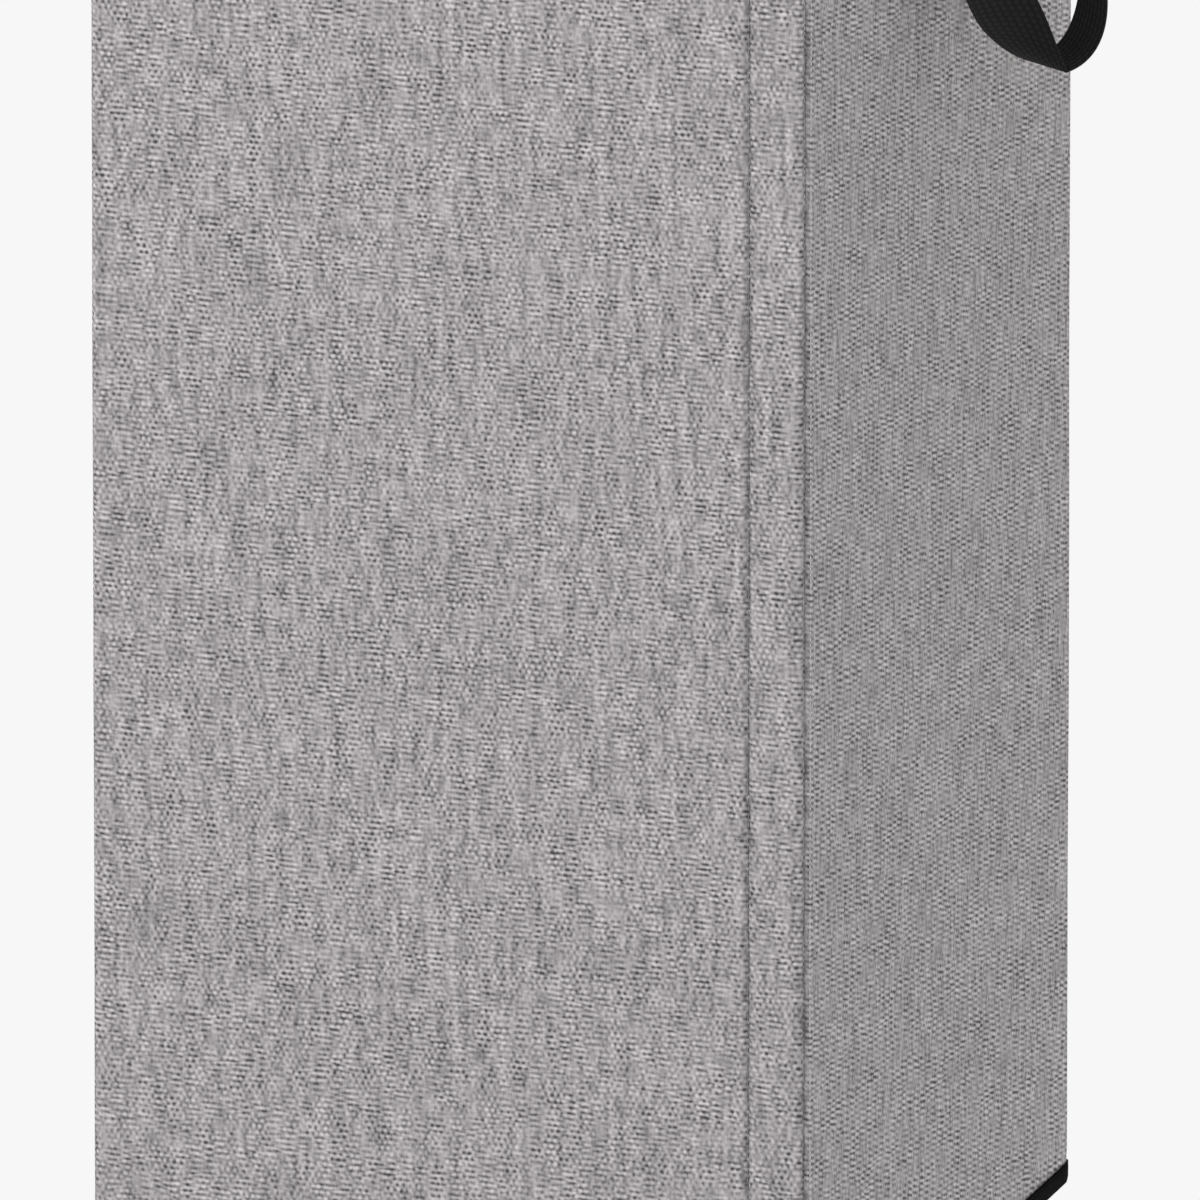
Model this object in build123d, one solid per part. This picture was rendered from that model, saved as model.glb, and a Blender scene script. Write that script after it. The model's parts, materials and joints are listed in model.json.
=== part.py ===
from build123d import *
import math
import os

# A tall, square fabric storage bin with stiffened walls, black bound edges and two webbing handles.
# Millimetres. +Z is up, the front faces -Y, and the origin is the middle of the underside.

# Driving dimensions of the bin
WIDTH = 304.0            # outside of the fabric, along X
DEPTH = 304.0            # outside of the fabric, along Y
HEIGHT = 660.0           # floor to the top of the rim binding
CORNER_RADIUS = 4.0      # the fabric's vertical corners

# Layers of a wall, from outside to inside
FABRIC = 1.2
BOARD = 2.4
LINING = 0.8

# Binding tape on the rim and on the bottom edge
TAPE = 1.0
RIM_TAPE_HEIGHT = 12.0
BOTTOM_TAPE_HEIGHT = 9.5
BOTTOM_TAPE_TURN = 12.0  # how far the tape turns in under the bin

# Boards stop short of the seams
BOARD_SIDE_GAP = 10.0
BOARD_TOP_GAP = 6.0
BOARD_BOTTOM_GAP = 5.0

# Stitched band that closes the wrap, on the front beside its right corner
BAND_WIDTH = 23.0
BAND_THICKNESS = 0.8

# Loose base insert
INSERT_PLAY = 1.5        # all round, inside the lining
INSERT_BOARD = 3.0
INSERT_COVER = 0.9
RUNNING_GAP = 0.3

# Webbing handles. Each loop is a near leg and a far leg that meet at its lowest point
WEBBING_WIDTH = 25.4
WEBBING = 1.8
HANDLE_HALF_SPAN = 61.2  # centre of the bin to the centre of a sewn end
HANDLE_SEW_Z = 636.4     # where the webbing leaves the wall
HANDLE_END_HEIGHT = 11.6
HINGE_OUT = 3.2          # the line the loop bends on, out from the wall
HINGE_BELOW = 1.5        # and below the sewn ends
HANDLE_DROP = 107.0      # sewn line to the lowest point of the centre line
HANDLE_BULGE = 47.3      # wall to the centre line at the lowest point
HANDLE_SKEW = -2.8       # how far the lowest point hangs to one side
LEG_HALF_SPAN = 58.8     # where both legs head from their sewn ends
LEG_BULGE = 28.3
LEG_DROP = 25.0
NEAR_REACH = 10.7        # how soon each leg leaves the bottom: the near one folds up sharply
FAR_REACH = 40.4
BOTTOM_YAW = -40.0       # degrees that the webbing is turned, seen from above, at the bottom
BOTTOM_TILT = 4.5        # degrees that its outer edge is raised there
BOTTOM_SLOPE = 0.14
NEAR_TWIST = 1.52        # how late the near leg turns
FAR_TWIST = 1.64         # how early the far leg turns
SQUARE_SHARE = 0.25      # share of a leg over which it turns in from square to the sewn line
SECTIONS_PER_LEG = 14

LAYERS = FABRIC + BOARD + LINING
FLOOR_TOP = TAPE + LINING
INSERT_Z = FLOOR_TOP + RUNNING_GAP
INSERT_HEIGHT = INSERT_BOARD + 2 * INSERT_COVER
WALL_TOP = HEIGHT - TAPE


def slab(inset, low, high):
    """A block with the bin's rounded plan, inset from the fabric's outside, from low to high."""
    radius = max(CORNER_RADIUS - inset, 1.0)
    plan = RectangleRounded(WIDTH - 2 * inset, DEPTH - 2 * inset, radius)
    return Pos(0, 0, low) * extrude(plan, high - low)


def ring(outer_inset, inner_inset, low, high):
    """The space between two such blocks, as a closed band round the bin."""
    return slab(outer_inset, low, high) - slab(inner_inset, low, high)


def wall_wedge(angle):
    """The quarter of the plan that faces angle, cut on the diagonals, for mitred corners."""
    reach = WIDTH + DEPTH
    quarter = Polygon((0, 0), (reach, -reach), (reach, reach), align=None)
    return Rot(0, 0, angle) * extrude(quarter, HEIGHT)


def fabric_panel(angle):
    """One wall's outer fabric, with half of each rounded corner."""
    return ring(0, FABRIC, TAPE, WALL_TOP) & wall_wedge(angle)


def wall_board(angle):
    """The flat stiffener between a wall's fabric and its lining."""
    length = (DEPTH if angle % 180 == 0 else WIDTH) - 2 * BOARD_SIDE_GAP
    reach = (WIDTH if angle % 180 == 0 else DEPTH) / 2 - FABRIC - BOARD / 2
    low = TAPE + BOARD_BOTTOM_GAP
    height = WALL_TOP - BOARD_TOP_GAP - low
    board = Pos(reach, 0, low + height / 2) * Box(BOARD, length, height)
    return Rot(0, 0, angle) * board


def lining_walls():
    """The lining's four walls, one closed sleeve."""
    return ring(LAYERS - LINING, LAYERS, FLOOR_TOP, WALL_TOP)


def lining_floor():
    """The lining's floor, on the base fabric."""
    return slab(FABRIC, TAPE, FLOOR_TOP)


def base_panel():
    """The base fabric, inside the turned-in tape and level with it."""
    return slab(BOTTOM_TAPE_TURN, 0, TAPE)


def bottom_binding():
    """Tape that wraps the bottom edge: a strip outside and a turn underneath."""
    return ring(-TAPE, 0, 0, BOTTOM_TAPE_HEIGHT) + ring(0, BOTTOM_TAPE_TURN, 0, TAPE)


def rim_binding():
    """Tape folded over the top edge: a strip outside, a strip inside and the fold on top."""
    low = HEIGHT - RIM_TAPE_HEIGHT
    outside = ring(-TAPE, 0, low, HEIGHT)
    inside = ring(LAYERS, LAYERS + TAPE, low, HEIGHT)
    return outside + inside + ring(0, LAYERS, WALL_TOP, HEIGHT)


def closing_band():
    """The flat band on the front, from its stitch row to the right corner's seam."""
    right = WIDTH / 2 - CORNER_RADIUS / 2
    low = BOTTOM_TAPE_HEIGHT
    high = HEIGHT - RIM_TAPE_HEIGHT
    shell = ring(-BAND_THICKNESS, 0, low, high)
    cut = Pos(right - BAND_WIDTH / 2, -DEPTH / 2, (low + high) / 2)
    return shell & (cut * Box(BAND_WIDTH, 3 * CORNER_RADIUS, high - low))


def insert_cover():
    """The fabric sleeve round the loose base board."""
    inset = LAYERS + INSERT_PLAY
    outside = slab(inset, INSERT_Z, INSERT_Z + INSERT_HEIGHT)
    inner_low = INSERT_Z + INSERT_COVER
    return outside - slab(inset + INSERT_COVER, inner_low, inner_low + INSERT_BOARD)


def insert_board():
    """The board sealed inside the sleeve."""
    low = INSERT_Z + INSERT_COVER
    return slab(LAYERS + INSERT_PLAY + INSERT_COVER, low, low + INSERT_BOARD)


def bottom_along():
    """The direction of the webbing at the loop's lowest point, from the near leg to the far one."""
    yaw = math.radians(BOTTOM_YAW)
    return Vector(-math.sin(yaw), math.cos(yaw), BOTTOM_SLOPE).normalized()


def leg_point(t, side):
    """A point of the loop's centre line: t is 0 at the sewn end and 1 at the bottom."""
    hinge = Vector(WIDTH / 2 + HINGE_OUT, side * HANDLE_HALF_SPAN, HANDLE_SEW_Z - HINGE_BELOW)
    bottom = Vector(WIDTH / 2 + HANDLE_BULGE, HANDLE_SKEW, HANDLE_SEW_Z - HANDLE_DROP)
    reach = NEAR_REACH if side < 0 else FAR_REACH
    controls = [
        hinge,
        Vector(hinge.X + LEG_BULGE, side * LEG_HALF_SPAN, hinge.Z - LEG_DROP),
        bottom + bottom_along() * (side * reach),
        bottom,
    ]
    weights = [(1 - t) ** 3, 3 * (1 - t) ** 2 * t, 3 * (1 - t) * t ** 2, t ** 3]
    point = Vector(0, 0, 0)
    for weight, control in zip(weights, controls):
        point = point + control * weight
    return point


def webbing_section(t, side):
    """The webbing's cross-section at t."""
    step = 0.002
    along = (leg_point(t + step, side) - leg_point(t - step, side)) * -side
    along = Vector(along.X, along.Y * min(t / SQUARE_SHARE, 1), along.Z).normalized()
    if t == 1:
        along = bottom_along()
    still_to_turn = 1 - t ** NEAR_TWIST if side < 0 else (1 - t) ** FAR_TWIST
    turn = math.radians(90) * still_to_turn
    yaw, tilt = math.radians(BOTTOM_YAW), math.radians(BOTTOM_TILT)
    level = Vector(math.cos(yaw) * math.cos(tilt), math.sin(yaw) * math.cos(tilt), math.sin(tilt))
    across = level * math.cos(turn) + Vector(0, -side, 0) * math.sin(turn)
    across = (across - along * across.dot(along)).normalized()
    plane = Plane(origin=leg_point(t, side), x_dir=across, z_dir=along)
    return plane * Rectangle(WEBBING_WIDTH, WEBBING)


def handle_loop():
    """The free part of the right handle, from one sewn end to the other."""
    steps = [i / SECTIONS_PER_LEG for i in range(SECTIONS_PER_LEG)]
    near = [webbing_section(t, -1) for t in steps]
    far = [webbing_section(t, 1) for t in reversed(steps)]
    sections = near + [webbing_section(1, -1)] + far
    return Solid.make_loft([section.wire() for section in sections], ruled=True)


def handle_ends():
    """The two ends of the right handle, sewn flat on the wall."""
    x = WIDTH / 2 + WEBBING / 2
    z = HANDLE_SEW_Z + HANDLE_END_HEIGHT / 2
    end = Box(WEBBING, WEBBING_WIDTH, HANDLE_END_HEIGHT)
    return [Pos(x, side * HANDLE_HALF_SPAN, z) * end for side in (-1, 1)]


def turned(shapes, angle):
    """The same shapes on the wall that faces angle."""
    return [Rot(0, 0, angle) * shape for shape in shapes]


def save(node, shapes):
    """Writes one sub-part, which may be several separate solids."""
    solids = [solid for shape in shapes for solid in shape.solids()]
    shape = solids[0] if len(solids) == 1 else Compound(children=solids)
    export_step(shape, f"parts/{node}.step")


WALLS = {"right": 0, "back": 90, "left": 180, "front": 270}
HANDLE_WALLS = ("right", "left")

os.makedirs("parts", exist_ok=True)
for wall, angle in WALLS.items():
    save(f"{wall}_panel", [fabric_panel(angle)])
    save(f"{wall}_board", [wall_board(angle)])
for wall in HANDLE_WALLS:
    save(f"{wall}_handle", turned([handle_loop()], WALLS[wall]))
    save(f"{wall}_handle_ends", turned(handle_ends(), WALLS[wall]))
save("closing_band", [closing_band()])
save("rim_binding", [rim_binding()])
save("bottom_binding", [bottom_binding()])
save("base_panel", [base_panel()])
save("lining_walls", [lining_walls()])
save("lining_floor", [lining_floor()])
save("insert_cover", [insert_cover()])
save("insert_board", [insert_board()])
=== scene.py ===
import json
import math

import bpy
from mathutils import Matrix, Vector, noise


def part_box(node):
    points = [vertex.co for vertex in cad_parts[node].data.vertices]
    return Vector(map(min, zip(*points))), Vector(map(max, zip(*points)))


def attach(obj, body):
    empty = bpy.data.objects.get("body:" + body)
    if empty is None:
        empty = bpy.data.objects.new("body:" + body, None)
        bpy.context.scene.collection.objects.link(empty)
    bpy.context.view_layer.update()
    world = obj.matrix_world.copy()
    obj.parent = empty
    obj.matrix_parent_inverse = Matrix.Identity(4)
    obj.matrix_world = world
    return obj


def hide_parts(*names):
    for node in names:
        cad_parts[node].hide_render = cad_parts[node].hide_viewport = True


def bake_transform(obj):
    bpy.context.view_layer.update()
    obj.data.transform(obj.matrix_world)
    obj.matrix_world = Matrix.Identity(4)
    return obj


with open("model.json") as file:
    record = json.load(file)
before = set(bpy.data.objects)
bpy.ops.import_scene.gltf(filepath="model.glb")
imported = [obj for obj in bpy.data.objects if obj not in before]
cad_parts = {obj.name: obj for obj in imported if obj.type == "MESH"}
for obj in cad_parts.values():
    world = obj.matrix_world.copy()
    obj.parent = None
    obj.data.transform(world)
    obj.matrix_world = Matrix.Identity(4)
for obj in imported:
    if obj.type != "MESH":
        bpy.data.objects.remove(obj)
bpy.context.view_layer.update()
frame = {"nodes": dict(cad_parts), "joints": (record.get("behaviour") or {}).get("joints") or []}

# ---------------------------------------------------------------- sizes, in metres, from the frame
MM = 0.001
PANEL_LOW, PANEL_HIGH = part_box("front_panel")
RIM_LOW, RIM_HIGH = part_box("rim_binding")
TAPE_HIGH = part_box("bottom_binding")[1]
LINING_LOW, LINING_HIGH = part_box("lining_walls")
COVER_LOW, COVER_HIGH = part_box("insert_cover")
ENDS_LOW, ENDS_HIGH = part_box("right_handle_ends")

HALF = -PANEL_LOW.y          # middle of the bin to the outside of the fabric
HEIGHT = RIM_HIGH.z
TAPE = TAPE_HIGH.x - HALF
LINING_INSET = HALF - LINING_HIGH.x
CORNER = 4 * MM              # radius of the fabric's vertical corners
FABRIC = 1.2 * MM
LAYERS = 4.4 * MM            # fabric, board and lining together
WALLS = {"right": 0, "back": 90, "left": 180, "front": 270}
FACE = {"right": "side", "back": "front", "left": "side", "front": "front"}
TAPE_TURN = 12 * MM          # how far the bottom tape turns in under the bin

# Weave of the outer fabric: broad floats in rows, and single yarns at twice the row's height
ROW = {"front": 2.50 * MM, "side": 2.66 * MM}
FLOAT_WIDTH = {"front": 14.0 * MM, "side": 13.5 * MM}
YARN_WIDTH = 2.68 * MM
YARN_HEIGHT = 4.9 * MM
FLOAT_CONTRAST = {"front": 0.44, "side": 0.56}
YARN_CONTRAST = {"front": 0.32, "side": 0.12}
LEAN = {"right": 0.33, "left": 0.33, "front": 0.0, "back": 0.0}  # slope of the rows on each wall

STITCH_PITCH = 3.4 * MM
STITCH_LENGTH = 2.6 * MM
THREAD = 0.28 * MM           # the thread's radius
SEAM_PITCH = 2.45 * MM       # smaller stitches, at the corner seam
SEAM_STITCH = 1.5 * MM
TAPE_EDGE = 2.2 * MM         # from a tape's edge to its row of stitches

# How finely the cloths are divided into points
PANEL_ROWS = 150
BAND_COLUMNS = 26
TAPE_COLUMNS = 64            # for each wall
LINING_COLUMNS = 36          # for each wall
LINING_ROWS = 60

# The studio: pale floor and surroundings
FLOOR_REACH = 9.0
FLOOR_GLOW = 0.930
SURROUNDINGS = 0.765

# The view: a long lens, from the right and above
AZIMUTH = math.radians(20.67)
ELEVATION = math.radians(19.36)
LENS = 1500.0
SENSOR = 36.0
FRAME_WIDTH = 0.4813         # metres of the object across the frame
AIM_RIGHT = 0.0067           # the frame's centre, along the camera's right and up
AIM_UP = 0.2632


# ---------------------------------------------------------------- camera, stage and light
def make_camera():
    back = Vector((
        math.sin(AZIMUTH) * math.cos(ELEVATION),
        -math.cos(AZIMUTH) * math.cos(ELEVATION),
        math.sin(ELEVATION),
    ))
    right = Vector((math.cos(AZIMUTH), math.sin(AZIMUTH), 0))
    up = back.cross(right)
    data = bpy.data.cameras.new("camera")
    data.sensor_width = SENSOR
    data.lens = LENS
    distance = FRAME_WIDTH * LENS / SENSOR
    data.clip_start, data.clip_end = 1.0, 3 * distance
    camera = bpy.data.objects.new("camera", data)
    camera.location = right * AIM_RIGHT + up * AIM_UP + back * distance
    camera.rotation_euler = (-back).to_track_quat("-Z", "Y").to_euler()
    bpy.context.scene.collection.objects.link(camera)
    bpy.context.scene.camera = camera


def make_floor():
    """A floor just under the bin, evenly lit so that it shows no shadow."""
    far = FLOOR_REACH
    corners = [(-far, -far, 0), (far, -far, 0), (far, far, 0), (-far, far, 0)]
    mesh = bpy.data.meshes.new("studio_floor")
    mesh.from_pydata(corners, [], [(0, 1, 2, 3)])
    floor = bpy.data.objects.new("studio_floor", mesh)
    floor.location.z = -0.2 * MM
    bpy.context.scene.collection.objects.link(floor)
    material = bpy.data.materials.new("pale_floor")
    material.use_nodes = True
    shader = material.node_tree.nodes["Principled BSDF"]
    shader.inputs["Base Color"].default_value = (0, 0, 0, 1)
    shader.inputs["Roughness"].default_value = 0.9
    shader.inputs["Specular IOR Level"].default_value = 0.0
    shader.inputs["Emission Color"].default_value = (1, 1, 1, 1)
    shader.inputs["Emission Strength"].default_value = FLOOR_GLOW
    mesh.materials.append(material)


def make_light(name, azimuth, elevation, distance, size, power):
    """A round soft light that faces the bin's middle. Angles in degrees, power in watts."""
    a, e = math.radians(azimuth), math.radians(elevation)
    out = Vector((math.sin(a) * math.cos(e), -math.cos(a) * math.cos(e), math.sin(e)))
    data = bpy.data.lights.new(name, "AREA")
    data.shape = "DISK"
    data.size = size
    data.energy = power
    light = bpy.data.objects.new(name, data)
    light.location = Vector((0, 0, HEIGHT / 2)) + out * distance
    light.rotation_euler = (-out).to_track_quat("-Z", "Y").to_euler()
    bpy.context.scene.collection.objects.link(light)


def make_studio():
    scene = bpy.context.scene
    scene.view_settings.view_transform = "Standard"
    scene.view_settings.look = "None"
    world = bpy.data.worlds.new("studio")
    scene.world = world
    world.use_nodes = True
    background = world.node_tree.nodes["Background"]
    background.inputs["Color"].default_value = (SURROUNDINGS, SURROUNDINGS, SURROUNDINGS, 1)
    background.inputs["Strength"].default_value = 1.0
    make_floor()
    make_light("key", azimuth=-32, elevation=38, distance=3.2, size=2.4, power=47)
    make_light("fill", azimuth=75, elevation=30, distance=3.5, size=2.6, power=2)


# ---------------------------------------------------------------- node helpers
class Graph:
    """A short way to write a material's nodes."""

    def __init__(self, name, roughness, specular, sheen=0.0):
        self.material = bpy.data.materials.new(name)
        self.material.use_nodes = True
        self.tree = self.material.node_tree
        self.shader = self.tree.nodes["Principled BSDF"]
        self.shader.inputs["Roughness"].default_value = roughness
        self.shader.inputs["Specular IOR Level"].default_value = specular
        self.shader.inputs["Sheen Weight"].default_value = sheen
        self.shader.inputs["Sheen Roughness"].default_value = 0.6

    def put(self, socket, value):
        """Sets a socket to a number or links it to another socket."""
        if isinstance(value, bpy.types.NodeSocket):
            self.tree.links.new(value, socket)
        elif value is not None:
            socket.default_value = value

    def math(self, operation, a, b=None, c=None):
        node = self.tree.nodes.new("ShaderNodeMath")
        node.operation = operation
        for socket, value in zip(node.inputs, (a, b, c)):
            self.put(socket, value)
        return node.outputs[0]

    def parts_of(self, vector):
        split = self.tree.nodes.new("ShaderNodeSeparateXYZ")
        self.tree.links.new(vector, split.inputs[0])
        return split.outputs

    def cloth_uv(self):
        """The cloth's own coordinates, in metres."""
        node = self.tree.nodes.new("ShaderNodeUVMap")
        node.uv_map = "cloth"
        u, v, _ = self.parts_of(node.outputs[0])
        return u, v

    def position(self):
        node = self.tree.nodes.new("ShaderNodeNewGeometry")
        return self.parts_of(node.outputs["Position"])

    def attribute(self, name):
        node = self.tree.nodes.new("ShaderNodeAttribute")
        node.attribute_name = name
        return node.outputs["Fac"]

    def noise(self, x, y, width, height, seed, detail):
        """Clouds of the given width and height, from 0 to 1."""
        join = self.tree.nodes.new("ShaderNodeCombineXYZ")
        scaled = (self.math("DIVIDE", x, width), self.math("DIVIDE", y, height), seed)
        for socket, value in zip(join.inputs, scaled):
            self.put(socket, value)
        node = self.tree.nodes.new("ShaderNodeTexNoise")
        node.inputs["Scale"].default_value = 1.0
        node.inputs["Detail"].default_value = detail
        node.inputs["Roughness"].default_value = 0.5
        self.tree.links.new(join.outputs[0], node.inputs["Vector"])
        return node.outputs[0]

    def centred(self, value, amount):
        """amount times a 0 to 1 value, moved to be even about zero."""
        return self.math("MULTIPLY", self.math("SUBTRACT", value, 0.5), amount)

    def colour(self, rgb, factor):
        """The base colour: rgb made lighter or darker by factor."""
        node = self.tree.nodes.new("ShaderNodeVectorMath")
        node.operation = "SCALE"
        node.inputs[0].default_value = rgb
        self.put(node.inputs["Scale"], factor)
        self.tree.links.new(node.outputs[0], self.shader.inputs["Base Color"])

    def bump(self, height, distance, strength):
        node = self.tree.nodes.new("ShaderNodeBump")
        node.inputs["Strength"].default_value = strength
        node.inputs["Distance"].default_value = distance
        self.put(node.inputs["Height"], height)
        self.tree.links.new(node.outputs[0], self.shader.inputs["Normal"])

    def roughness(self, value):
        self.tree.links.new(value, self.shader.inputs["Roughness"])


# ---------------------------------------------------------------- materials
LINING_GREY = (0.43, 0.42, 0.42)
LINING_PITCH = 0.9 * MM
LINING_CONTRAST = 0.12
WEAVE_DEPTH = 0.08 * MM
THREAD_TWIST = 0.5 * MM


def linen_material(name, rgb, face):
    """Melange linen look: short light and dark dashes in wandering rows, single yarns and upright slubs."""
    g = Graph(name, 0.88, specular=0.12, sheen=0.05)
    u, v = g.cloth_uv()
    lean = g.attribute("row")
    painted_groove_shade = g.attribute("painted_groove_shade")

    def patch(width, height, seed, amount, detail=1.0):
        """Uneven clouds of cloth, even about zero."""
        return g.centred(g.noise(u, v, width, height, seed, detail), amount)

    def wave_of(value, length, drift):
        turn = g.math("MULTIPLY_ADD", value, 2 * math.pi / length, drift)
        return g.math("SINE", turn)

    def weave(width, height, seed, sway, climb):
        """Light and dark dashes in turn, whose columns sway and whose rows climb."""
        ragged = patch(5 * MM, 2.6 * MM, seed=seed + 5, amount=3.0)
        swaying = patch(22 * MM, 12 * MM, seed=seed, amount=sway, detail=2.0)
        climbing = patch(30 * MM, 14 * MM, seed=seed + 3, amount=climb, detail=2.0)
        side = wave_of(u, width, g.math("ADD", swaying, ragged))
        return g.math("MULTIPLY", side, wave_of(lean, height, climbing))

    def clamped(value, low, high):
        return g.math("MINIMUM", g.math("MAXIMUM", value, low), high)

    def fading(value, where, middle, low):
        """value, stronger in some places than in others."""
        return g.math("MULTIPLY", value, clamped(g.math("ADD", where, middle), low, 1.7))

    floats = weave(FLOAT_WIDTH[face], ROW[face], seed=3.0, sway=8.0, climb=7.0)
    yarns = weave(YARN_WIDTH, YARN_HEIGHT, seed=11.0, sway=4.0, climb=3.0)
    floats = fading(floats, patch(20 * MM, 9 * MM, seed=21.0, amount=3.6, detail=2.0), middle=0.95, low=0.2)
    yarns = fading(yarns, patch(9 * MM, 12 * MM, seed=25.0, amount=4.6, detail=2.0), middle=0.85, low=0.05)
    streak = patch(2.2 * MM, 8 * MM, seed=31.0, amount=1.55, detail=2.0)
    slub = patch(4.5 * MM, 40 * MM, seed=37.0, amount=0.8)
    nap = patch(1.6 * MM, 1.6 * MM, seed=41.0, amount=0.75)
    cloud = patch(40 * MM, 90 * MM, seed=43.0, amount=0.12)
    dash = g.math("MULTIPLY_ADD", yarns, YARN_CONTRAST[face] / FLOAT_CONTRAST[face], floats)
    tone = g.math("MULTIPLY_ADD", dash, FLOAT_CONTRAST[face], 1.0)
    for part in (streak, slub, nap, cloud):
        tone = g.math("ADD", tone, part)
    # Painted shade: the colour is darkened along the sewn grooves (corner seam and band's stitch row), with
    # streaks in it
    shade = g.math("MULTIPLY_ADD", painted_groove_shade, g.math("MULTIPLY_ADD", streak, 0.5, -0.38), 1.0)
    g.colour(rgb, g.math("MULTIPLY", clamped(tone, 0.2, 1.9), shade))
    g.bump(g.math("MULTIPLY_ADD", nap, 0.6, dash), distance=0.12 * MM, strength=0.5)
    g.roughness(g.math("MULTIPLY_ADD", dash, -0.04, 0.86))
    return g.material


def ribbed_material(name, rgb, across_pitch, along_pitch, contrast, depth, specular, sheen):
    """Webbing or tape: ribs of short floats, staggered from rib to rib."""
    g = Graph(name, 0.85, specular=specular, sheen=sheen)
    u, v = g.cloth_uv()
    rib = g.math("DIVIDE", u, across_pitch)
    stagger = g.math("MULTIPLY", g.math("FLOOR", rib), math.pi)
    crest = g.math("SINE", g.math("MULTIPLY", g.math("FRACT", rib), math.pi))
    turn = g.math("MULTIPLY", v, 2 * math.pi / along_pitch)
    floats = g.math("SINE", g.math("ADD", turn, stagger))
    fuzz = g.centred(g.noise(u, v, 0.5 * MM, 0.9 * MM, seed=2.0, detail=2.0), 1.0)
    worn = g.centred(g.noise(u, v, 9 * MM, 30 * MM, seed=6.0, detail=2.0), 0.9)
    height = g.math("MULTIPLY_ADD", floats, 0.35, crest)
    tone = g.math("MULTIPLY_ADD", g.math("SUBTRACT", height, 0.5), contrast, 1.0)
    tone = g.math("ADD", tone, g.math("MULTIPLY", fuzz, contrast))
    tone = g.math("ADD", tone, worn)
    g.colour(rgb, g.math("MAXIMUM", tone, 0.2))
    g.bump(g.math("MULTIPLY_ADD", fuzz, 0.3, height), distance=depth, strength=0.8)
    g.roughness(g.math("MULTIPLY_ADD", height, -0.08, 0.85))
    return g.material


def plain_weave(g, x, y, pitch):
    """Warp and weft, one over and one under, from -1 to 1."""
    warp, weft = (g.math("SINE", g.math("MULTIPLY", axis, 2 * math.pi / pitch)) for axis in (x, y))
    return g.math("MULTIPLY", warp, weft)


def plain_cloth_material(name, rgb, pitch, contrast, roughness):
    """A fine plain weave, for the lining, the base and the insert's sleeve."""
    g = Graph(name, roughness, specular=0.2, sheen=0.1)
    u, v = g.cloth_uv()
    weave = plain_weave(g, u, v, pitch)
    cloud = g.centred(g.noise(u, v, 30 * MM, 45 * MM, seed=1.0, detail=3.0), 0.22)
    yarn = g.centred(g.noise(u, v, 1.2 * MM, 1.2 * MM, seed=4.0, detail=2.0), 0.5)
    tone = g.math("MULTIPLY_ADD", weave, contrast, 1.0)
    tone = g.math("ADD", g.math("ADD", tone, cloud), g.math("MULTIPLY", yarn, contrast * 2))
    g.colour(rgb, tone)
    g.bump(g.math("MULTIPLY_ADD", yarn, 0.6, weave), distance=WEAVE_DEPTH, strength=0.5)
    g.roughness(g.math("MULTIPLY_ADD", weave, -0.05, roughness))
    return g.material


def board_material():
    """Hard greyboard, with its fibres."""
    g = Graph("greyboard", 0.85, specular=0.2)
    x, y, z = g.position()
    fibre = g.noise(g.math("ADD", x, y), z, 2 * MM, 9 * MM, seed=1.0, detail=3.0)
    g.colour((0.46, 0.43, 0.38), g.math("MULTIPLY_ADD", fibre, 0.5, 0.75))
    g.bump(fibre, distance=0.1 * MM, strength=0.4)
    return g.material


def hidden_cloth_material():
    """Lining cloth without its own coordinates, for the floor under the insert."""
    g = Graph("grey_lining_floor", 0.8, specular=0.2, sheen=0.1)
    x, y, _ = g.position()
    weave = plain_weave(g, x, y, LINING_PITCH)
    g.colour(LINING_GREY, g.math("MULTIPLY_ADD", weave, LINING_CONTRAST, 1.0))
    g.bump(weave, distance=WEAVE_DEPTH, strength=0.5)
    return g.material


def thread_material(name, rgb, sheen):
    """Twisted sewing thread."""
    g = Graph(name, 0.8, specular=0.1, sheen=sheen)
    u, v = g.cloth_uv()
    twist = g.math("SINE", g.math("MULTIPLY", g.math("ADD", u, v), 2 * math.pi / THREAD_TWIST))
    g.colour(rgb, g.math("MULTIPLY_ADD", twist, 0.2, 1.0))
    g.bump(twist, distance=0.05 * MM, strength=0.6)
    return g.material


# ---------------------------------------------------------------- mesh helpers
def add_piece(name, points, faces, uvs, material):
    """A piece whose place is in its mesh, with the cloth's own coordinates in metres."""
    mesh = bpy.data.meshes.new(name)
    mesh.from_pydata([tuple(p) for p in points], [], faces)
    layer = mesh.uv_layers.new(name="cloth")
    for loop in mesh.loops:
        layer.data[loop.index].uv = uvs[loop.vertex_index]
    mesh.materials.append(material)
    mesh.polygons.foreach_set("use_smooth", [True] * len(mesh.polygons))
    mesh.validate()
    piece = bpy.data.objects.new(name, mesh)
    bpy.context.scene.collection.objects.link(piece)
    return piece


def add_values(piece, name, values):
    """A number for each point, which the cloth's material reads."""
    layer = piece.data.attributes.new(name, "FLOAT", "POINT")
    layer.data.foreach_set("value", values)


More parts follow.
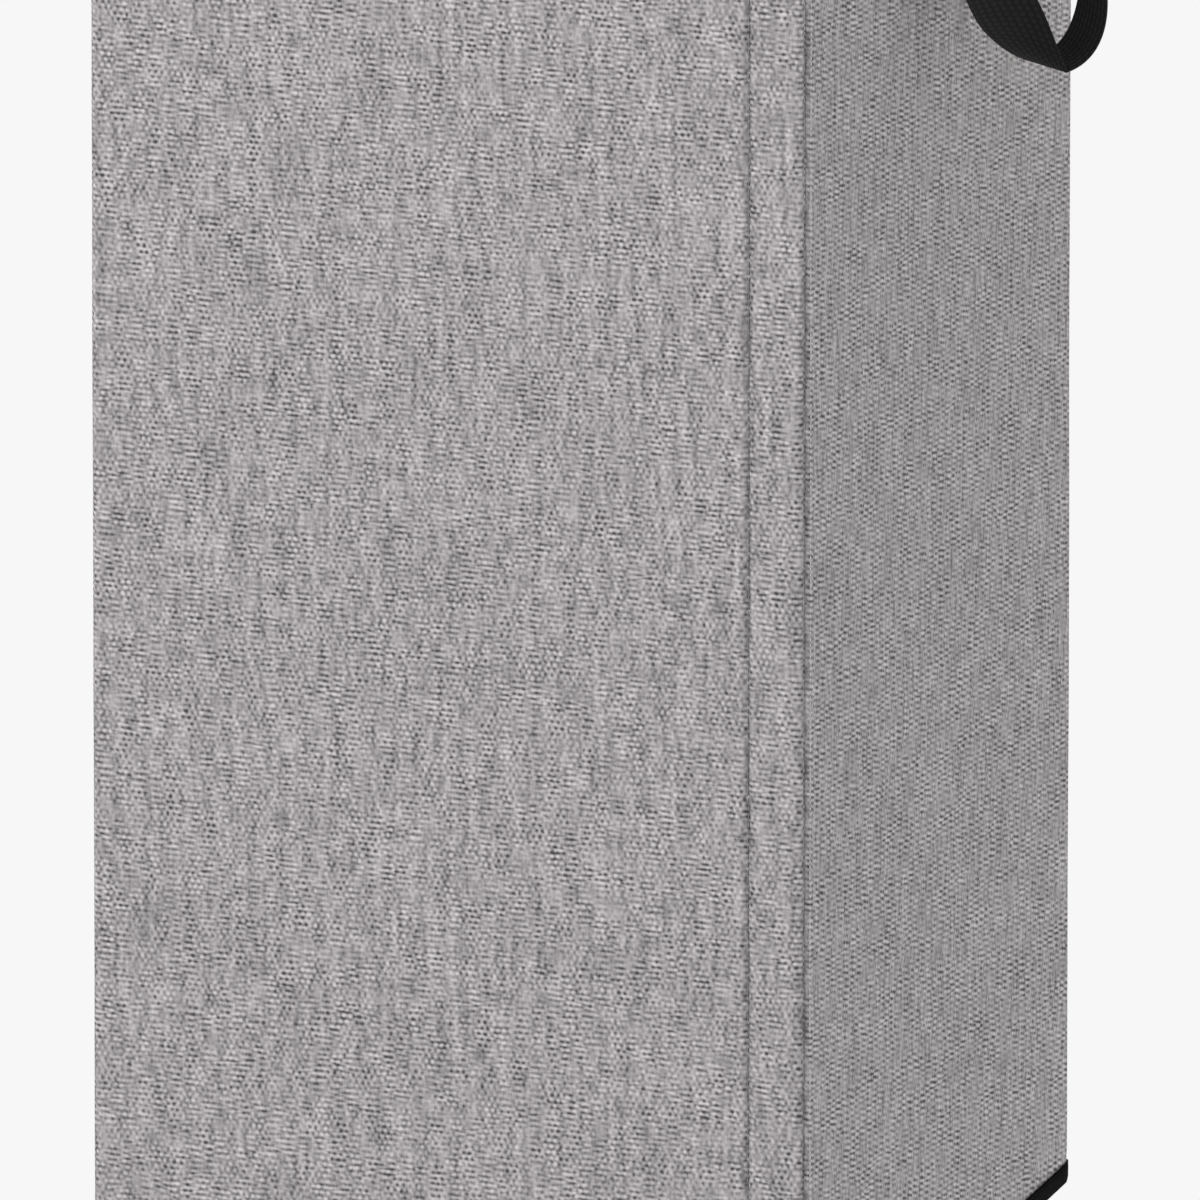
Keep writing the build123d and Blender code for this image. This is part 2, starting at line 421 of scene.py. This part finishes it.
def shell_piece(name, front, back, uv, material, closed=False):
    """A thin closed cloth from two grids of points, front[i][j] and back[i][j]. closed joins the last i
    to the first. uv[i][j] is shared by both faces."""
    columns, rows = len(front), len(front[0])
    points = [p for column in front for p in column] + [p for column in back for p in column]
    uvs = [q for column in uv for q in column] * 2
    shift = columns * rows
    spans = columns if closed else columns - 1
    faces = []

    def index(i, j):
        return (i % columns) * rows + j

    for i in range(spans):
        for j in range(rows - 1):
            a, b, c, d = index(i, j), index(i + 1, j), index(i + 1, j + 1), index(i, j + 1)
            faces.append((a, b, c, d))
            faces.append((d + shift, c + shift, b + shift, a + shift))
        for j, flip in ((0, False), (rows - 1, True)):
            a, b = index(i, j), index(i + 1, j)
            edge = (b, a, a + shift, b + shift)
            faces.append(tuple(reversed(edge)) if flip else edge)
    if not closed:
        for i, flip in ((0, False), (columns - 1, True)):
            for j in range(rows - 1):
                a, b = index(i, j), index(i, j + 1)
                edge = (a, b, b + shift, a + shift)
                faces.append(tuple(reversed(edge)) if flip else edge)
    return add_piece(name, points, faces, uvs, material)


def spread(low, high, count):
    """count even steps from low to high, both included."""
    return [low + (high - low) * i / (count - 1) for i in range(count)]


def half_run(inset=0.0):
    """Half a wall's length of cloth, from its middle to the middle of its rounded corner."""
    radius = max(CORNER - inset, MM)
    return HALF - inset - radius + radius * math.pi / 4


def wall_point(wall, along, inset=0.0):
    """The point and outward normal of a wall's surface, along metres from its middle, as seen from above."""
    radius = max(CORNER - inset, MM)
    flat = HALF - inset - radius
    angle = max(abs(along) - flat, 0) / radius
    side = 1 if along >= 0 else -1
    if angle == 0:
        point, normal = Vector((HALF - inset, along, 0)), Vector((1, 0, 0))
    else:
        normal = Vector((math.cos(angle), side * math.sin(angle), 0))
        point = Vector((flat, side * flat, 0)) + normal * radius
    turn = Matrix.Rotation(math.radians(WALLS[wall]), 3, "Z")
    return turn @ point, turn @ normal


def ring_points(count, inset=0.0):
    """Points and normals right round the bin, with the distance run, count of them for each wall."""
    half = half_run(inset)
    found = []
    for number, wall in enumerate(WALLS):
        for i in range(count):
            along = -half + 2 * half * i / count
            point, normal = wall_point(wall, along, inset)
            found.append((point, normal, number * 2 * half + half + along))
    return found


def wave(x, y, seed, size):
    """Gentle unevenness of cloth, from -1 to 1."""
    return noise.noise(Vector((x / size, y / size, seed)))


def dip(distance, width):
    """A rounded groove, 1 on its line and near 0 at twice its width."""
    return math.exp(-((distance / width) ** 2))


# ---------------------------------------------------------------- outer fabric
BAND_EDGE = 127 * MM         # the band's stitch row, from the middle of the front wall
BAND_CLOTH = 0.31            # how far from the wall's own cloth the band was cut


def seam_distance(wall, along):
    """Distance to the one sewn corner, where the wrap closes; the other three corners are only folds."""
    if wall == "front":
        return half_run() - along
    if wall == "right":
        return half_run() + along
    return 2 * half_run()


def seam_drift(z):
    """How far the band's stitch row wanders sideways."""
    return 0.45 * MM * wave(0, z, 51, 22 * MM) + 0.2 * MM * wave(0, z, 52, 7 * MM)


def painted_groove_shade(wall, along, z):
    """How deep in a sewn groove a place lies: the amount of painted shade that darkens the cloth's colour
    there, standing in for the groove's own shade.
    """
    spots = 0.75 + 0.7 * wave(0, z, 54, 3.5 * MM)
    depth = spots * dip(seam_distance(wall, along), 1.6 * MM)
    if wall == "front":
        spots = 0.85 + 0.55 * wave(0, z, 53, 5 * MM)
        depth += spots * dip(along - BAND_EDGE - seam_drift(z), 1.4 * MM)
    return depth


def panel_relief(wall, along, z):
    """How far the outer fabric stands off its plain surface."""
    seed = WALLS[wall] / 90 + 1      # each wall has its own
    relief = 0.30 * MM * wave(along, z * 0.45, seed, 70 * MM)
    relief += 0.10 * MM * wave(along, z * 0.3, seed + 9, 16 * MM)
    to_seam = seam_distance(wall, along)
    relief -= 0.75 * MM * dip(to_seam, 1.1 * MM)
    relief += 0.20 * MM * dip(to_seam - 4 * MM, 2.5 * MM)
    relief -= 0.30 * MM * dip(z - TAPE_HIGH.z, 4 * MM)
    relief -= 0.30 * MM * dip(z - RIM_LOW.z, 4 * MM)
    if wall == "front":
        relief -= 0.70 * MM * dip(along - BAND_EDGE - seam_drift(z), 1.5 * MM)
        relief += 0.45 * MM * dip(along - BAND_EDGE + 3.4 * MM, 1.8 * MM)
    return relief


def panel_columns(wall):
    """Where the panel's columns of points lie: close at corners and seams, wider between."""
    half = half_run()
    flat = spread(-half + 12 * MM, half - 12 * MM, 56)
    corner = spread(0, 11 * MM, 18)
    places = [-half + c for c in corner] + flat + [half - c for c in reversed(corner)]
    if wall == "front":
        before, after = BAND_EDGE - 6 * MM, BAND_EDGE + 4 * MM
        places = [p for p in places if not before < p < after]
        places += spread(before, after, 12)
    return sorted(places)


def make_panels():
    """The outer fabric of the four walls."""
    low, high = PANEL_LOW.z, PANEL_HIGH.z - 0.4 * MM
    heights = spread(low, high, PANEL_ROWS)
    half = half_run()
    for number, wall in enumerate(WALLS):
        places = panel_columns(wall)
        front, back, uv = [], [], []
        for along in places:
            outer, normal = wall_point(wall, along)
            tall = [Vector((0, 0, z)) for z in heights]
            relief = [panel_relief(wall, along, z) for z in heights]
            front.append([outer + normal * r + t for r, t in zip(relief, tall)])
            back.append([outer - normal * (FABRIC - min(r, 0) * 0.4) + t for r, t in zip(relief, tall)])
            start = number * 2 * half + half
            uv.append([(start + along, z) for z in heights])
        piece = shell_piece(f"{wall}_outer_cloth", front, back, uv, LINEN[FACE[wall]])
        add_values(piece, "row", [z + LEAN[wall] * along for along in places for z in heights] * 2)
        # each point's amount of painted shade along the sewn grooves
        add_values(piece, "painted_groove_shade", [painted_groove_shade(wall, along, z) for along in places for z in heights] * 2)
        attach(piece, "shell")
        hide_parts(f"{wall}_panel")


def make_closing_band():
    """The band lies on the front wall: crowned between its stitch row and the corner's seam."""
    low, high = TAPE_HIGH.z - 1 * MM, RIM_LOW.z + 1 * MM
    start, end = BAND_EDGE + 0.6 * MM, half_run() - 0.9 * MM
    heights = spread(low, high, PANEL_ROWS)
    places = spread(start, end, BAND_COLUMNS)
    front, back, uv = [], [], []
    for along in places:
        share = (along - start) / (end - start)
        crown = math.sin(math.pi * share) ** 0.55
        point, normal = wall_point("front", along)
        outer, inner = [], []
        for z in heights:
            pucker = 0.16 * MM * math.sin(2 * math.pi * z / (17 * MM) + 2.4 * wave(0, z, 3, 40 * MM))
            tuck = math.exp(-(along - start) / (3 * MM)) + math.exp(-(end - along) / (3 * MM))
            lift = (0.15 + 0.85 * crown) * 1.05 * MM + pucker * tuck * crown
            lift += 0.10 * MM * wave(along, z * 0.5, 31, 14 * MM)
            base = panel_relief("front", along, z)
            slide = Vector((seam_drift(z) * (1 - share) ** 2, 0, z))
            outer.append(point + normal * (base + lift + 0.1 * MM) + slide)
            inner.append(point + normal * (base + 0.02 * MM) + slide)
        front.append(outer)
        back.append(inner)
        uv.append([(along + BAND_CLOTH, z) for z in heights])
    piece = shell_piece("closing_band_cloth", front, back, uv, LINEN["front"])
    add_values(piece, "row", heights * len(places) * 2)
    # each point's amount of painted shade along the sewn grooves
    add_values(piece, "painted_groove_shade", [painted_groove_shade("front", along, z) for along in places for z in heights] * 2)
    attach(piece, "shell")
    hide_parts("closing_band")


# ---------------------------------------------------------------- bindings
TAPE_SLACK = 0.12 * MM       # how far the tape wanders in and out


def make_binding(name, node, profile):
    """Tape right round the bin. profile is a closed list of (inset, z) points, outside first."""
    ring = ring_points(TAPE_COLUMNS)
    points, uvs, faces = [], [], []
    count = len(profile)
    run = [0.0]
    for a, b in zip(profile, profile[1:] + profile[:1]):
        run.append(run[-1] + math.dist(a, b))
    for point, normal, distance in ring:
        wander = TAPE_SLACK * wave(distance, 0, 5, 60 * MM)
        for k, (inset, z) in enumerate(profile):
            spot = point - normal * inset
            limit = HALF - inset - 0.5 * MM
            if inset > CORNER:
                spot = Vector((max(-limit, min(limit, spot.x)), max(-limit, min(limit, spot.y)), 0))
            points.append(spot + normal * (wander if inset < 0 else 0) + Vector((0, 0, z)))
            uvs.append((run[k], distance))
    for i in range(len(ring)):
        for k in range(count):
            here, there = i * count, (i + 1) % len(ring) * count
            after = (k + 1) % count
            faces.append((here + k, there + k, there + after, here + after))
    piece = add_piece(name, points, faces, uvs, TAPE_BLACK)
    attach(piece, "shell")
    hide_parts(node)
    return piece


def arc(centre, radius, start, end, count):
    """Points of an arc in the (inset, z) plane, angles in degrees."""
    found = []
    for angle in spread(math.radians(start), math.radians(end), count):
        found.append((centre[0] + radius * math.cos(angle), centre[1] + radius * math.sin(angle)))
    return found


def make_bindings():
    """Folded tape on the bottom edge and over the rim."""
    top, thick, fold = TAPE_HIGH.z, TAPE, 2.6 * MM
    bottom = [(0.1 * MM, top - 0.4 * MM), (-0.45 * thick, top), (-thick, top - 0.5 * MM)]
    bottom += [(-thick * 1.05, top * 0.6), (-thick, fold)]
    bottom += arc((fold - thick, fold), fold, 190, 260, 6)
    bottom += [(4 * MM, 0.0), (TAPE_TURN - 1 * MM, 0.0), (TAPE_TURN, 0.5 * MM), (TAPE_TURN - 1 * MM, thick)]
    bottom += [(3 * MM, thick), (0.2 * MM, thick * 1.4)]
    piece = make_binding("bottom_tape", "bottom_binding", bottom)

    low, bend = RIM_LOW.z, (LAYERS + 2 * TAPE) / 2
    middle = (LAYERS / 2, HEIGHT - bend)
    rim = [(LAYERS - 0.1 * MM, low + 0.3 * MM), (LAYERS + 0.5 * TAPE, low), (LAYERS + TAPE, low + 0.5 * MM)]
    rim += arc(middle, bend, 0, 180, 11)
    rim += [(-TAPE, low + 0.5 * MM), (-0.5 * TAPE, low), (0.1 * MM, low + 0.3 * MM)]
    rim += arc(middle, LAYERS / 2, 180, 0, 7)
    rim.reverse()
    piece = make_binding("rim_tape", "rim_binding", rim)


# ---------------------------------------------------------------- lining, base and insert
def make_lining():
    """The lining's sleeve, a little loose between its corner seams."""
    low, high = LINING_LOW.z, HEIGHT - 2.2 * MM
    heights = spread(low, high, LINING_ROWS)
    front, back, uv = [], [], []
    wall_run = 2 * half_run(LINING_INSET)
    for point, normal, distance in ring_points(LINING_COLUMNS, LINING_INSET):
        to_corner = min(distance % wall_run, wall_run - distance % wall_run)
        inner, outer = [], []
        for z in heights:
            slack = 0.22 * MM * wave(distance, z * 0.5, 7, 55 * MM) - 0.25 * MM
            slack += 0.35 * MM * dip(to_corner, 2.5 * MM)
            inner.append(point - normal * (0.8 * MM + min(slack, 0) * 0.6) + Vector((0, 0, z)))
            outer.append(point - normal * 0.1 * MM + Vector((0, 0, z)))
        front.append(outer)
        back.append(inner)
        uv.append([(distance, z) for z in heights])
    piece = shell_piece("lining_sleeve", front, back, uv, LINING_CLOTH, closed=True)
    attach(piece, "shell")
    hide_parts("lining_walls")


def slab_piece(name, low, high, edge, crown, material, corner):
    """A rounded cloth slab from low to high: a swollen rim of radius edge and a crowned top."""
    centre = (low + high) / 2
    reach = Vector(((high.x - low.x) / 2, (high.y - low.y) / 2, 0))
    thick = high.z - low.z
    loops = []
    inward = [reach.x * s for s in (0.98, 0.94, 0.88, 0.8, 0.7, 0.58, 0.44, 0.3, 0.15)]
    profile = [(d, low.z) for d in reversed(inward)]
    for angle in spread(-math.pi / 2, math.pi / 2, 9):
        profile.append((reach.x - edge + edge * math.cos(angle), centre.z + thick / 2 * math.sin(angle)))
    profile += [(d, high.z + crown * (1 - (d / reach.x) ** 2) * 0.5) for d in inward]
    around = 22              # points of each side, its share of the corners included
    rounded = 0.2            # that share, at each end
    points, uvs, faces = [], [], []
    for size, z in profile:
        radius = max(min(corner, size * 0.5) - (reach.x - size) * 0.2, size * 0.02)
        flat = size - radius
        loop = []
        for quarter in range(4):
            turn = Matrix.Rotation(math.radians(90 * quarter), 3, "Z")
            for i in range(around):
                share = i / around
                if share < rounded:
                    a = math.radians(-45 + 45 * share / rounded)
                    spot = Vector((flat + radius * math.cos(a), -flat + radius * math.sin(a), 0))
                elif share < 1 - rounded:
                    spot = Vector((size, -flat + 2 * flat * (share - rounded) / (1 - 2 * rounded), 0))
                else:
                    a = math.radians(45 * (share - 1 + rounded) / rounded)
                    spot = Vector((flat + radius * math.cos(a), flat + radius * math.sin(a), 0))
                spot = turn @ spot
                ripple = 0.12 * MM * wave(spot.x, spot.y, 13, 30 * MM)
                loop.append(Vector((spot.x, spot.y, z + ripple * (size < reach.x * 0.99))))
        loops.append(loop)
    count = 4 * around
    for loop in loops:
        for spot in loop:
            points.append(spot + Vector((centre.x, centre.y, 0)))
            uvs.append((spot.x, spot.y))
    for k in range(len(loops) - 1):
        for i in range(count):
            a, b = k * count + i, k * count + (i + 1) % count
            faces.append((a, b, b + count, a + count))
    for ring, flip in ((0, True), (len(loops) - 1, False)):
        cap = [ring * count + i for i in range(count)]
        faces.append(tuple(reversed(cap)) if flip else tuple(cap))
    return add_piece(name, points, faces, uvs, material)


def make_base_and_insert():
    """The base fabric under the bin, and the sleeve of the loose insert."""
    base_low, base_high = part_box("base_panel")
    base_low = Vector((base_low.x, base_low.y, 0.15 * MM))
    base = slab_piece(
        "base_cloth", base_low, base_high, edge=0.3 * MM, crown=0.0,
        material=BASE_CLOTH, corner=CORNER,
    )
    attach(base, "shell")
    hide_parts("base_panel")
    cover = slab_piece(
        "insert_sleeve", COVER_LOW, COVER_HIGH, edge=2.2 * MM, crown=0.9 * MM,
        material=LINING_CLOTH, corner=3 * MM,
    )
    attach(cover, "base_insert")
    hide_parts("insert_cover")


# ---------------------------------------------------------------- handles
WEBBING = ENDS_HIGH.x - ENDS_LOW.x
WEBBING_WIDTH = 25.4 * MM
SWING = next(joint for joint in frame["joints"] if joint["name"] == "right_handle_swing")
HINGE_X, HINGE_Z = SWING["pos_m"][0], SWING["pos_m"][2]
SPAN = ENDS_HIGH.y - WEBBING_WIDTH / 2
SKEW = -2.8 * MM             # the lowest point hangs a little to one side
DROP = 105.5 * MM            # from the hinge line to the lowest point
BULGE = 47.3 * MM            # from the wall to the lowest point
LEG_HALF_SPAN = 58.8 * MM    # where both legs head from their sewn ends
LEG_BULGE = 28.3 * MM
LEG_DROP = 25 * MM
REACH = {-1: 10.7 * MM, 1: 40.4 * MM}   # the near leg folds up sharply, the far one swings round
BOTTOM_YAW = math.radians(-40)          # how the webbing is turned at the bottom, seen from above
BOTTOM_TILT = math.radians(4.5)         # how far its outer edge is raised there
BOTTOM_SLOPE = 0.14
NEAR_TWIST = 1.52            # how late the near leg turns
FAR_TWIST = 1.64             # how early the far leg turns
SQUARE_SHARE = 0.25          # share of a leg over which it turns in from square to the sewn line
RIBS = 9
RIB_START = 0.1              # keeps the cloth's own coordinates above zero
RIB_DEPTH = 0.22 * MM
SELVEDGE = 0.35              # share of the thickness left at the webbing's edges
SELVEDGE_RISE = 22           # how fast the full thickness is reached
END_STEPS = 10
LEG_STEPS = 60


def leg_frame(t, side):
    """The loop's centre line, direction and cross direction: t is 0 at the hinge and 1 at the bottom."""
    bottom = Vector((HALF + BULGE, SKEW, HINGE_Z - DROP))
    bottom_along = Vector((-math.sin(BOTTOM_YAW), math.cos(BOTTOM_YAW), BOTTOM_SLOPE)).normalized()
    controls = [
        Vector((HINGE_X, side * SPAN, HINGE_Z)),
        Vector((HINGE_X + LEG_BULGE, side * LEG_HALF_SPAN, HINGE_Z - LEG_DROP)),
        bottom + bottom_along * (side * REACH[side]),
        bottom,
    ]
    weights = [(1 - t) ** 3, 3 * (1 - t) ** 2 * t, 3 * (1 - t) * t ** 2, t ** 3]
    slopes = [-3 * (1 - t) ** 2, 3 * (1 - t) * (1 - 3 * t), 3 * t * (2 - 3 * t), 3 * t ** 2]
    spot = sum((c * w for c, w in zip(controls, weights)), Vector())
    along = sum((c * w for c, w in zip(controls, slopes)), Vector())
    along.y *= min(t / SQUARE_SHARE, 1)
    along = bottom_along * -side if t == 1 else along.normalized()
    still_to_turn = 1 - t ** NEAR_TWIST if side < 0 else (1 - t) ** FAR_TWIST
    turn = math.radians(90) * still_to_turn
    level = Vector((math.cos(BOTTOM_YAW), math.sin(BOTTOM_YAW), math.tan(BOTTOM_TILT))).normalized()
    across = level * math.cos(turn) + Vector((0, -side, 0)) * math.sin(turn)
    across = (across - along * across.dot(along)).normalized()
    return spot, along, across


def strap_stations():
    """Right round one handle, from one sewn end to the other: centre, direction and cross direction."""
    wall_x = ENDS_LOW.x + WEBBING / 2
    stations = []
    for side in (-1, 1):
        half = []
        for z in spread(ENDS_HIGH.z, ENDS_LOW.z, END_STEPS):
            spot = Vector((wall_x, side * SPAN, z))
            half.append((spot, Vector((0, 0, -1)), Vector((0, -side, 0))))
        for t in spread(0, 1, LEG_STEPS):
            half.append(leg_frame(t, side))
        if side < 0:
            stations = half
        else:
            stations += [(s, -a, c) for s, a, c in reversed(half[:-1])]
    return stations


def strap_profile():
    """Half of the webbing's ribbed cross-section: (across, out) from one selvedge to the other."""
    found = []
    count = RIBS * 4
    for i in range(count + 1):
        share = i / count
        rib = RIB_DEPTH * (abs(math.sin(math.pi * RIBS * share)) - 1)
        edge = min(share, 1 - share)
        found.append((share - 0.5, WEBBING / 2 * min(1, SELVEDGE + edge * SELVEDGE_RISE) + rib))
    return found


def make_handle(wall):
    """One handle's webbing, in one piece from sewn end to sewn end."""
    turn = Matrix.Rotation(math.radians(WALLS[wall]), 3, "Z")
    profile = strap_profile()
    stations = strap_stations()
    points, uvs, faces = [], [], []
    distance = 0.0
    before = stations[0][0]
    for spot, along, across in stations:
        distance += (spot - before).length
        before = spot
        out = along.cross(across)
        for sign in (1, -1):
            for share, thick in (profile if sign > 0 else profile[::-1]):
                place = spot + across * (share * WEBBING_WIDTH) + out * (sign * thick)
                points.append(turn @ place)
                uvs.append((share * WEBBING_WIDTH + RIB_START, distance))
    count = 2 * len(profile)
    for i in range(len(stations) - 1):
        for k in range(count):
            a, b = i * count + k, i * count + (k + 1) % count
            faces.append((a, b, b + count, a + count))
    faces.append(tuple(reversed(range(count))))
    faces.append(tuple(range((len(stations) - 1) * count, len(stations) * count)))
    piece = add_piece(f"{wall}_handle_webbing", points, faces, uvs, WEBBING_BLACK)
    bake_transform(piece)
    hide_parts(f"{wall}_handle", f"{wall}_handle_ends")


# ---------------------------------------------------------------- stitches
def stitch_row(places, length):
    """Points, faces and coordinates of many small thread loops. places are (centre, direction, out)."""
    rings, sides = 5, 6
    points, uvs, faces = [], [], []
    for centre, along, out in places:
        cross = along.cross(out)
        base = len(points)
        for i in range(rings):
            share = i / (rings - 1)
            bow = math.sin(math.pi * share)
            size = THREAD * (0.55 + 0.45 * bow)
            spine = centre + along * ((share - 0.5) * length) + out * (THREAD * (1.1 * bow - 0.5))
            for k in range(sides):
                angle = 2 * math.pi * k / sides
                points.append(spine + (cross * math.cos(angle) + out * math.sin(angle)) * size)
                uvs.append((angle * THREAD, share * length))
        for i in range(rings - 1):
            for k in range(sides):
                a, b = base + i * sides + k, base + i * sides + (k + 1) % sides
                faces.append((a, b, b + sides, a + sides))
        faces.append(tuple(base + k for k in reversed(range(sides))))
        faces.append(tuple(base + (rings - 1) * sides + k for k in range(sides)))
    return points, faces, uvs


def add_stitches(name, places, material, length=STITCH_LENGTH):
    """One piece of thread stitches, sewn on the shell."""
    points, faces, uvs = stitch_row(places, length)
    piece = add_piece(name, points, faces, uvs, material)
    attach(piece, "shell")


def stitches_up(wall, along, lift, low, high, pitch=STITCH_PITCH):
    """Places of a vertical row on a wall."""
    places = []
    for i in range(int((high - low) / pitch)):
        z = low + (i + 0.5) * pitch
        drift = seam_drift(z) if wall == "front" else 0
        point, normal = wall_point(wall, along + drift)
        off = panel_relief(wall, along + drift, z) + lift
        places.append((point + normal * off + Vector((0, 0, z)), Vector((0, 0, 1)), normal))
    return places


def stitches_round(z, inset):
    """Places of a row right round the bin. A negative inset is outside."""
    ring = ring_points(int(2 * half_run() / STITCH_PITCH))
    edge = HALF - max(inset, 0) - STITCH_LENGTH
    return [
        (p - n * inset + Vector((0, 0, z)), Vector((-n.y, n.x, 0)), n if inset <= 0 else -n)
        for p, n, _ in ring if min(abs(p.x), abs(p.y)) < edge - CORNER
    ]


def handle_stitches(wall):
    """A box with a cross on each sewn end."""
    turn = Matrix.Rotation(math.radians(WALLS[wall]), 3, "Z")
    face = ENDS_HIGH.x - RIB_DEPTH * 0.4
    wide = WEBBING_WIDTH / 2 - 3 * MM
    low, high = ENDS_LOW.z + 2 * MM, ENDS_HIGH.z - 2 * MM
    corners = [(-wide, low), (wide, low), (wide, high), (-wide, high), (-wide, low), (wide, high)]
    lines = list(zip(corners, corners[1:])) + [((-wide, high), (wide, low))]
    places = []
    for side in (-1, 1):
        for (y0, z0), (y1, z1) in lines:
            run = Vector((0, y1 - y0, z1 - z0))
            count = max(int(run.length / STITCH_PITCH), 1)
            for i in range(count):
                spot = Vector((face, side * SPAN + y0, z0)) + run * ((i + 0.5) / count)
                places.append((turn @ spot, turn @ run.normalized(), turn @ Vector((1, 0, 0))))
    return places


def make_stitches():
    """The rows on the band, the corner seam, the tapes and the handles' ends."""
    low, high = TAPE_HIGH.z + 1 * MM, RIM_LOW.z - 1 * MM
    band = stitches_up("front", BAND_EDGE, 0.1 * MM, low, high)
    add_stitches("band_stitches", band, GREY_THREAD)
    # The corner seam's stitches are pale thread, a painted highlight: they stand in for light caught by the
    # weave along the seam's edge
    seam = stitches_up("right", -half_run() + 2.4 * MM, 0.02 * MM, low, high, SEAM_PITCH)
    add_stitches("corner_seam_highlight_stitches", seam, SEAM_HIGHLIGHT_THREAD, SEAM_STITCH)
    rows = (
        ("bottom_tape_stitches", TAPE_HIGH.z - TAPE_EDGE, -TAPE),
        ("rim_tape_stitches", RIM_LOW.z + TAPE_EDGE, -TAPE),
        ("rim_inner_stitches", RIM_LOW.z + TAPE_EDGE, LAYERS + TAPE),
    )
    for name, z, inset in rows:
        add_stitches(name, stitches_round(z, inset), BLACK_THREAD)
    for wall in ("right", "left"):
        add_stitches(f"{wall}_handle_stitches", handle_stitches(wall), BLACK_THREAD)


# ---------------------------------------------------------------- CAD nodes that stay
def finish_cad_nodes():
    """Boards and the lining's floor keep their CAD shape."""
    for name, material in (
        ("front_board", BOARD), ("right_board", BOARD), ("back_board", BOARD), ("left_board", BOARD),
        ("insert_board", BOARD), ("lining_floor", HIDDEN_LINING),
    ):
        node = frame["nodes"][name]
        for slot in node.material_slots:
            slot.material = material


GREY = (0.322, 0.305, 0.309)
LINEN = {face: linen_material(f"grey_linen_{face}", GREY, face) for face in ("front", "side")}
TAPE_BLACK = ribbed_material(
    "black_binding_tape", (0.0045, 0.0045, 0.0045), across_pitch=1.3 * MM, along_pitch=1.1 * MM,
    contrast=0.8, depth=0.15 * MM, specular=0.02, sheen=0.0,
)
WEBBING_BLACK = ribbed_material(
    "black_webbing", (0.0085, 0.0085, 0.0085), across_pitch=2.8 * MM, along_pitch=3.2 * MM,
    contrast=0.8, depth=0.22 * MM, specular=0.12, sheen=0.025,
)
LINING_CLOTH = plain_cloth_material("grey_lining", LINING_GREY, LINING_PITCH, LINING_CONTRAST, 0.8)
HIDDEN_LINING = hidden_cloth_material()
BASE_CLOTH = plain_cloth_material("black_base", (0.016, 0.016, 0.016), 1.4 * MM, 0.4, 0.9)
BOARD = board_material()
GREY_THREAD = thread_material("grey_thread", (0.20, 0.19, 0.19), 0.2)
# Pale thread for the corner seam: its pale colour is painted highlight, standing in for light on the weave
# at the seam's edge
SEAM_HIGHLIGHT_THREAD = thread_material("painted_highlight_thread", (0.60, 0.58, 0.58), 0.2)
BLACK_THREAD = thread_material("black_thread", (0.004, 0.004, 0.004), 0.0)

make_camera()
make_studio()
make_panels()
make_closing_band()
make_bindings()
make_lining()
make_base_and_insert()
for side_wall in ("right", "left"):
    make_handle(side_wall)
make_stitches()
finish_cad_nodes()
